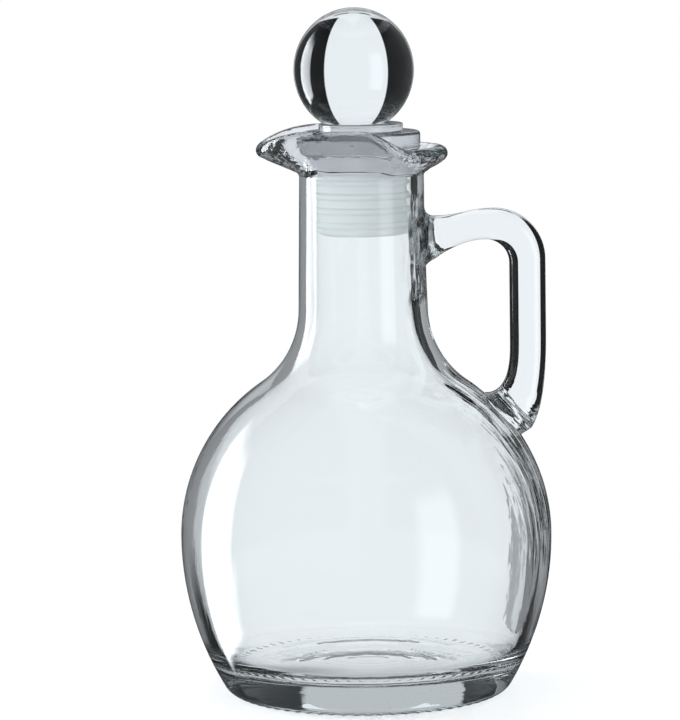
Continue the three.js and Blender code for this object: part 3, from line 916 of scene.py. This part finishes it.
def curve(controls, steps):
    points = []
    for step in range(1, steps + 1):
        row = [Vector(point) for point in controls]
        while len(row) > 1:
            row = [a.lerp(b, step / steps) for a, b in zip(row, row[1:])]
        points.append(row[0])
    return points


def quarter(corner, bend, steps):
    points = arc(corner[0] - bend, corner[1] - bend, bend, math.pi / 2, 0, steps)
    return [Vector(point) for point in points[1:]]


outer = [Vector((root, arm_top + ROOT_FILLET))]
outer += curve([outer[-1], (root, arm_top), (root + ROOT_FILLET, arm_top)], ROOT_STEPS)
arm_swing = (outer[-1].x + OUTER_BEND / 2, arm_top)
knuckle_swing = (upright_outer - 1.5 * OUTER_BEND, knuckle_top)
bend_start = (upright_outer - OUTER_BEND, knuckle_top)
outer += curve([outer[-1], arm_swing, knuckle_swing, bend_start], ARM_STEPS)
outer += quarter((upright_outer, knuckle_top), OUTER_BEND, BEND_STEPS)
outer += curve([outer[-1], (upright_outer, heel.y + 2 * FOOT_BEND)], UPRIGHT_STEPS)
outer += curve([outer[-1], (upright_outer, heel.y + FOOT_BEND / 2), heel], FOOT_STEPS)

inner = [Vector((root, arm_bottom - ROOT_FILLET))]
inner_root = (root + ROOT_FILLET, arm_bottom)
inner += curve([inner[-1], (root, arm_bottom - ROOT_FILLET / 2), inner_root], ROOT_STEPS)
inner_swing = (upright_inner - 2 * INNER_BEND, knuckle_bottom)
inner_bend_start = (upright_inner - INNER_BEND, knuckle_bottom)
inner += curve([inner[-1], inner_swing, inner_bend_start], ARM_STEPS)
inner += quarter((upright_inner, knuckle_bottom), INNER_BEND, BEND_STEPS)
inner += curve([inner[-1], (upright_inner, toe.y + FOOT_BEND)], UPRIGHT_STEPS)
inner += curve([inner[-1], (upright_inner, toe.y), toe], FOOT_STEPS)
print("the handle has", len(outer), "stations")

# %% [markdown]
# Where hot glass is pressed on hot glass it spreads. The strap could end flat, but then a sharp corner
# would show at each joint. Close to the vessel it therefore widens in a quarter circle and wraps round
# the neck and the belly. Its last ring is drawn into the middle of the wall, so that both skins cross and
# can be united.

# %% Shape of the strap's section and of its joints
HANDLE_DEPTH = 11 * MM
HANDLE_ROUNDNESS = 2.35
SECTION_POINTS = 48
JOINT_FLARE = 5 * MM
WRAP_REACH = 8 * MM


def section_point(index, half_width, half_depth):
    angle = 2 * math.pi * index / SECTION_POINTS
    width = math.copysign(abs(math.cos(angle)) ** (2 / HANDLE_ROUNDNESS), math.cos(angle))
    depth = math.copysign(abs(math.sin(angle)) ** (2 / HANDLE_ROUNDNESS), math.sin(angle))
    return half_width * width, half_depth * depth


def neck_radius_at(height):
    share = (NECK_TOP_HEIGHT - height) / (NECK_TOP_HEIGHT - neck_base_height)
    return NECK_TOP_RADIUS + (NECK_BASE_RADIUS - NECK_TOP_RADIUS) * min(max(share, 0), 1)


def joint(point):
    upper = point.z > (knuckle_bottom + toe.y) / 2
    centre = Vector((0, 0, point.z if upper else BELLY_HEIGHT))
    return centre, neck_radius_at(point.z) if upper else BELLY_RADIUS


def settle_on_vessel(point):
    flat = Vector((point.x, 0, point.z))
    centre, skin_radius = joint(flat)
    clear = (flat - centre).length - skin_radius
    if clear < JOINT_FLARE:
        short = min(JOINT_FLARE - clear, JOINT_FLARE)
        point.y *= 1 + (JOINT_FLARE - math.sqrt(JOINT_FLARE**2 - short**2)) / (HANDLE_DEPTH / 2)
    wrap = (skin_radius - math.sqrt(skin_radius**2 - point.y**2)) * (1 - ease(clear / WRAP_REACH))
    return point - (flat - centre).normalized() * wrap


def bury(point):
    centre, skin_radius = joint(point)
    return centre + (point - centre).normalized() * (skin_radius - WALL / 2)


print("the strap's section has", SECTION_POINTS, "points")

# %% [markdown]
# The strap itself is a ring of points that is pushed from station to station. Sections could be made one
# by one and bridged, but then their points might not be in step. Here each point remembers its number on
# the ring, so that every ring can afterwards take the shape of the section at its own station.

# %% Push the strap from the neck to the belly
strap = bmesh.new()
number_layer = strap.verts.layers.int.new("place")
bmesh.ops.create_circle(strap, cap_ends=False, radius=HANDLE_DEPTH / 2, segments=SECTION_POINTS)
for index, corner in enumerate(strap.verts):
    corner[number_layer] = index
loops = [list(strap.verts)]
for station in range(1, len(outer) + 2):
    last = loops[-1]
    last_edges = dict.fromkeys(
        edge for corner in last for edge in corner.link_edges if edge.other_vert(corner) in last)
    pushed = bmesh.ops.extrude_edge_only(strap, edges=list(last_edges))["geom"]
    loops.append([item for item in pushed if isinstance(item, bmesh.types.BMVert)])
for number, loop in enumerate(loops):
    station = min(max(number - 1, 0), len(outer) - 1)
    middle = (outer[station] + inner[station]) / 2
    half = (outer[station] - inner[station]) / 2
    for corner in loop:
        width, depth = section_point(corner[number_layer], half.length, HANDLE_DEPTH / 2)
        flat = middle + half.normalized() * width
        corner.co = settle_on_vessel(Vector((flat.x, depth, flat.y)))
        if number in (0, len(loops) - 1):
            corner.co = bury(corner.co)
bmesh.ops.edgeloop_fill(strap, edges=[edge for edge in strap.edges if edge.is_boundary])
bmesh.ops.recalc_face_normals(strap, faces=strap.faces)
strap_open = sum(edge.is_boundary for edge in strap.edges)
print("the strap has", len(strap.faces), "faces, open edges:", strap_open)

# %% [markdown]
# ## Finish of the vessel
#
# Between the furrows the dragged skin shows fine streaks, and the joint of the handle's foot is layered.
# The lip is uneven from the tool too. All of them are finer than the mesh, so they are extra heights for
# the bump, which fade in by place. A painted mask could do that as well, but limits in millimetres can be
# read and changed in one place.

# %% Streaks and tool marks of the vessel
STREAK_DEPTH = 0.55 * MM
NECK_STREAK_RATES, BELLY_STREAK_RATES = (520, 60), (240, 40)
NECK_STREAKS_ASIDE, NECK_STREAKS_Z = in_mm(8, 14), in_mm(106, 113, 135, 139)
NECK_STREAKS_X = in_mm(8, 12, 20, 26)
BELLY_STREAKS_X, BELLY_STREAKS_Z = in_mm(18, 26), in_mm(20, 82, 88, 96)
BELLY_STREAKS_END = in_mm(57, 60)
SPREAD_Z, SPREAD, SPREAD_FADES = in_mm(40, 85), in_mm(36, 26), (0.5, 1.0)
LAYERS_X, LAYERS_Z, LAYERS_END = in_mm(26, 30), in_mm(66, 72, 88, 94), in_mm(55, 58)
LAYER_RATE, LAYER_SLOPE = 800.0, 0.15
TOOLED_DEPTH, TOOLED_RATE = 0.5 * MM, 170.0
LIP_START, LIP_FULL = NECK_TOP_HEIGHT, NECK_TOP_HEIGHT + 3.5 * MM


def streaks_along(wires, place, across, along):
    return wires.cloud(wires.stretch(place, (along, across, along)), 1.0, detail=2.0)


def vessel_marks(wires):
    place = wires.place()
    x, y, z = wires.split(place)
    aside = wires.calculate("ABSOLUTE", y)
    from_belly = wires.distance(place, (0, 0, BELLY_HEIGHT))
    on_neck = wires.product(
        wires.fade(aside, *NECK_STREAKS_ASIDE, 1, 0), wires.band(z, *NECK_STREAKS_Z),
        wires.band(x, *NECK_STREAKS_X))
    aside_share = wires.calculate("DIVIDE", aside, wires.fade(z, *SPREAD_Z, *SPREAD))
    on_belly = wires.product(
        wires.fade(aside_share, *SPREAD_FADES, 1, 0), wires.band(z, *BELLY_STREAKS_Z),
        wires.fade(x, *BELLY_STREAKS_X), wires.fade(from_belly, *BELLY_STREAKS_END, 1, 0))
    on_foot = wires.product(
        wires.band(z, *LAYERS_Z), wires.fade(x, *LAYERS_X), wires.fade(from_belly, *LAYERS_END, 1, 0))
    slope = wires.product(z, LAYER_SLOPE)
    layers = wires.add("ShaderNodeCombineXYZ", inputs={0: from_belly, 1: slope})[0]
    on_lip = wires.fade(z, LIP_START, LIP_FULL)
    return wires.total(
        wires.product(wires.cloud(place, TOOLED_RATE, detail=3.0), on_lip, TOOLED_DEPTH),
        wires.product(streaks_along(wires, place, *NECK_STREAK_RATES), on_neck, STREAK_DEPTH),
        wires.product(streaks_along(wires, place, *BELLY_STREAK_RATES), on_belly, STREAK_DEPTH),
        wires.product(wires.cloud(layers, LAYER_RATE, detail=1.0), on_foot, STREAK_DEPTH))


print("marks lie up to", round(STREAK_DEPTH / MM, 2), "mm deep")

# %% [markdown]
# The folded lip is painted greyer than the wall, and unevenly so: a painted shade that stands in for the
# dark room that the thick glass mirrors there. A separate material for it would leave a hard line, so the
# tone of the one finish changes with height and with a soft cloud.

# %% Glass of the vessel
# Painted shade: the lip's base colour is blended towards grey, unevenly by a cloud.
LIP_PAINTED_SHADE = (0.85, 0.855, 0.875, 1)
LIP_SHADE_START = NECK_TOP_HEIGHT + 0.5 * MM
LIP_SHADE_CLOUD_RATE, LIP_SHADE_CLOUD_SHARES = 140.0, (0.5, 1)
CLOUD_SPAN = (0.3, 0.7)


def vessel_tone_with_lip_shade(wires):
    place = wires.place()
    cloud = wires.cloud(place, LIP_SHADE_CLOUD_RATE, detail=2.0)
    on_lip = wires.fade(wires.split(place)[2], LIP_SHADE_START, LIP_FULL)
    share = wires.product(on_lip, wires.fade(cloud, *CLOUD_SPAN, *LIP_SHADE_CLOUD_SHARES))
    return wires.blend(share, CLEAR_TONE, LIP_PAINTED_SHADE)


vessel_finish = clear_glass(
    "vessel_glass", wave_size=16 * MM, stretch=0.5, wave_depth=0.1 * MM, roughness=0.0,
    depth_colour=CLEAR_DEPTH, marks=vessel_marks, tone=vessel_tone_with_lip_shade)
print("finish of the vessel has", len(vessel_finish.node_tree.nodes), "nodes")

# %% [markdown]
# ## One piece of glass
#
# The handle is fused on while the glass is hot, so no skin is left between the two. The two meshes could
# simply cross, but a leftover skin inside the glass would show as a mirror. A Boolean modifier unites the
# two closed skins, and then the slivers along the crease are merged.

# %% Unite vessel and handle
SLIVER = 0.005 * MM

vessel_piece = make_piece("bottle_with_handle", vessel, vessel_finish)
strap_piece = make_piece("strap", strap, vessel_finish)
union = vessel_piece.modifiers.new("fuse_handle", "BOOLEAN")
union.operation = "UNION"
union.solver = "EXACT"
union.object = strap_piece
evaluated = vessel_piece.evaluated_get(bpy.context.evaluated_depsgraph_get())
united = bpy.data.meshes.new_from_object(evaluated)
vessel_piece.modifiers.clear()
bpy.data.objects.remove(strap_piece)
fused = bmesh.new()
fused.from_mesh(united)
bmesh.ops.triangulate(fused, faces=[face for face in fused.faces if len(face.verts) > 4])
bmesh.ops.remove_doubles(fused, verts=fused.verts, dist=SLIVER)
bmesh.ops.dissolve_degenerate(fused, edges=fused.edges, dist=SLIVER)
fused.to_mesh(vessel_piece.data)
fused_open = sum(not edge.is_manifold for edge in fused.edges)
print("fused skin: faces", len(fused.faces), "open edges", fused_open)
fused.free()
smooth(vessel_piece.data)
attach(vessel_piece, "bottle")
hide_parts("bottle", "handle")

# %% [markdown]
# ## Stopper
#
# The plug is a turned piece of solid glass: a stem, a wide flange that rests in the mouth and a small
# disc. It could be three cylinders, but the rounded edges catch the light, so it is one line with an arc
# at each edge. Heights and the flange's radius come from the frame. Its glass looks greyer than the wall
# and a little rough.

# %% Plug
plug_low, plug_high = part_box("stopper_plug")
FLANGE_RADIUS = plug_high.y
FLANGE_THICKNESS = 5.2 * MM
FLANGE_ROUND = 1 * MM
DISC_RADIUS = 11.5 * MM
DISC_THICKNESS = 2.2 * MM
DISC_ROUND = 0.5 * MM
STEM_RADIUS = 10 * MM
GREY_DEPTH = (0.5, 0.51, 0.54, 1)
TURNED_COLUMNS = 128
STEM_STEPS, FLANGE_STEPS, DISC_STEPS = 6, 8, 5
disc_top = plug_high.z
flange_top = disc_top - DISC_THICKNESS
flange_bottom = flange_top - FLANGE_THICKNESS
stem_edge = (STEM_RADIUS - FLANGE_ROUND, plug_low.z + FLANGE_ROUND)
flange_edge = FLANGE_RADIUS - FLANGE_ROUND
disc_foot = (DISC_RADIUS + DISC_ROUND, flange_top + DISC_ROUND)
disc_edge = (DISC_RADIUS - DISC_ROUND, disc_top - DISC_ROUND)
quarter_turn = math.pi / 2
plug_line = [(0, plug_low.z)]
plug_line += arc(*stem_edge, FLANGE_ROUND, -quarter_turn, 0, STEM_STEPS)
plug_line += straight(plug_line[-1], (STEM_RADIUS, flange_bottom), STEM_STEPS)
plug_line += arc(flange_edge, flange_bottom + FLANGE_ROUND, FLANGE_ROUND, -quarter_turn, 0, FLANGE_STEPS)
plug_line += arc(flange_edge, flange_top - FLANGE_ROUND, FLANGE_ROUND, 0, quarter_turn, FLANGE_STEPS)
plug_line += arc(*disc_foot, DISC_ROUND, -quarter_turn, -math.pi, DISC_STEPS)
plug_line += arc(*disc_edge, DISC_ROUND, 0, quarter_turn, DISC_STEPS)
plug_line += [(0, disc_top)]
plug_finish = clear_glass(
    "plug_glass", wave_size=5 * MM, stretch=1.0, wave_depth=0.1 * MM, roughness=0.15,
    depth_colour=GREY_DEPTH)
plug_piece = make_piece("stopper_plug_glass", turn_on_lathe(plug_line, TURNED_COLUMNS), plug_finish)
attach(plug_piece, "stopper")
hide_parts("stopper_plug")

# %% [markdown]
# The ball is solid glass, a little taller than wide, and ground flat where it is bonded on the disc. It
# could be turned like the plug, but it sits off the axis. So it is a sphere that is stretched, moved and
# cut by a plane, and the cut is closed.

# %% Ball
ball_low, ball_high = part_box("stopper_ball")
BALL_RADIUS = ball_high.y
BALL_HALF_HEIGHT = 17 * MM
BALL_COLUMNS, BALL_ROWS = 128, 96
BOND_GAP = 0.02 * MM
ball_middle = Vector(((ball_low.x + ball_high.x) / 2, 0, ball_high.z - BALL_HALF_HEIGHT))
ball = bmesh.new()
bmesh.ops.create_uvsphere(ball, u_segments=BALL_COLUMNS, v_segments=BALL_ROWS, radius=BALL_RADIUS)
bmesh.ops.scale(ball, verts=ball.verts, vec=(1, 1, BALL_HALF_HEIGHT / BALL_RADIUS))
bmesh.ops.translate(ball, verts=ball.verts, vec=ball_middle)
everything = list(ball.verts) + list(ball.edges) + list(ball.faces)
bond = (0, 0, disc_top + BOND_GAP)
bmesh.ops.bisect_plane(ball, geom=everything, plane_co=bond, plane_no=(0, 0, 1), clear_inner=True)
bmesh.ops.edgeloop_fill(ball, edges=[edge for edge in ball.edges if edge.is_boundary])
bmesh.ops.recalc_face_normals(ball, faces=ball.faces)
ball_finish = clear_glass(
    "ball_glass", wave_size=14 * MM, stretch=1.0, wave_depth=0.02 * MM, roughness=0.0,
    depth_colour=CLEAR_DEPTH)
ball_piece = make_piece("stopper_ball_glass", ball, ball_finish)
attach(ball_piece, "stopper")
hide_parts("stopper_ball")

# %% [markdown]
# ## Sleeve
#
# The seal is a soft cup of milky polyethylene. It could be scattered light inside a volume, which is slow
# in so thin a wall. Its finish is part clear and rough, part matt, with a faint cloud in tone and in
# roughness. Under the lip its collar is painted greyer, as the shade that the lip and the flange cast on
# it.

# %% Finish of the sleeve
SLEEVE_TONES = ((0.86, 0.89, 0.88, 1), (0.91, 0.935, 0.925, 1))
SLEEVE_COLLAR_PAINTED_SHADE = (0.75, 0.745, 0.77, 1)
SLEEVE_CLOUD_RATE = 220.0
SLEEVE_ROUGHNESS = (0.30, 0.42)
SLEEVE_GRAIN, SLEEVE_GRAIN_STRENGTH = 0.05 * MM, 0.4
SLEEVE_BENDING, SLEEVE_CLEAR_SHARE = 1.5, 0.5

sleeve_finish, milky = new_finish("sleeve_milky")
sleeve_place = milky.place()
sleeve_cloud = milky.cloud(sleeve_place, SLEEVE_CLOUD_RATE, detail=3.0)
tone = milky.add("ShaderNodeValToRGB", inputs={0: sleeve_cloud})[0]
for element, colour in zip(tone.node.color_ramp.elements, SLEEVE_TONES):
    element.color = colour
# Painted shade: the collar under the lip turns grey in its base colour.
collar_shade_share = milky.fade(milky.split(sleeve_place)[2], NECK_TOP_HEIGHT, NECK_TOP_HEIGHT + 2 * BORE_EDGE)
grain = {"Strength": SLEEVE_GRAIN_STRENGTH, "Distance": SLEEVE_GRAIN, "Height": sleeve_cloud}
sleeve_look = {
    "Base Color": milky.blend(collar_shade_share, tone, SLEEVE_COLLAR_PAINTED_SHADE),
    "Roughness": milky.fade(sleeve_cloud, *CLOUD_SPAN, *SLEEVE_ROUGHNESS),
    "IOR": SLEEVE_BENDING,
    "Transmission Weight": SLEEVE_CLEAR_SHARE,
    "Normal": milky.add("ShaderNodeBump", inputs=grain)[0],
}
sleeve_skin = milky.add("ShaderNodeBsdfPrincipled", inputs=sleeve_look)[0]
milky.add("ShaderNodeOutputMaterial", inputs={"Surface": sleeve_skin})
print("sleeve finish has", len(sleeve_finish.node_tree.nodes), "nodes")

# %% [markdown]
# The cup has four ribs round it that bend against the neck, and a collar that the flange presses down.
# The ribs could be rings that are joined on, but they are moulded with the cup, so they are soft swells
# in the line that is spun.

# %% Sleeve
sleeve_low, sleeve_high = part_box("sealing_sleeve")
SLEEVE_COLLAR_RADIUS = sleeve_high.y
SLEEVE_FLOOR = 1.6 * MM
SLEEVE_BORE = 10.3 * MM
SLEEVE_TOP_GAP = 0.02 * MM
SLEEVE_END_ROUND = 2 * MM
SLEEVE_END_STEPS = 8
GROOVE_RADIUS = 12.3 * MM
RIB_RADIUS = 13.2 * MM
RIB_COUNT = 4
RIB_PITCH = 3.93 * MM
RIB_WIDTH = 1.9 * MM
RIB_STEPS = 12
RIB_FULLNESS = 0.6
collar_underside = NECK_TOP_HEIGHT + BORE_EDGE
sleeve_top = sleeve_high.z - SLEEVE_TOP_GAP
cup_floor = sleeve_low.z + SLEEVE_FLOOR
end_middle = (GROOVE_RADIUS - SLEEVE_END_ROUND, sleeve_low.z + SLEEVE_END_ROUND)
sleeve_line = [(0, sleeve_low.z)]
sleeve_line += arc(*end_middle, SLEEVE_END_ROUND, -quarter_turn, 0, SLEEVE_END_STEPS)
for rib in reversed(range(RIB_COUNT)):
    rib_middle = NECK_TOP_HEIGHT + RIB_WIDTH / 2 - (rib + 0.5) * RIB_PITCH
    for step in range(RIB_STEPS + 1):
        swell = math.sin(math.pi * step / RIB_STEPS) ** RIB_FULLNESS
        height = rib_middle + RIB_WIDTH * (step / RIB_STEPS - 0.5)
        sleeve_line.append((GROOVE_RADIUS + (RIB_RADIUS - GROOVE_RADIUS) * swell, height))
sleeve_line += [
    (GROOVE_RADIUS, collar_underside),
    (RIB_RADIUS, collar_underside),
    (SLEEVE_COLLAR_RADIUS, collar_underside + 2 * MOUTH_BEVEL),
    (SLEEVE_COLLAR_RADIUS, sleeve_top),
    (SLEEVE_BORE, sleeve_top),
    (SLEEVE_BORE, cup_floor),
    (0, cup_floor),
]
sleeve = turn_on_lathe(sleeve_line, TURNED_COLUMNS)
sleeve_piece = make_piece("sealing_sleeve_milky", sleeve, sleeve_finish)
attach(sleeve_piece, "seal")
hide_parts("sealing_sleeve")

# %% [markdown]
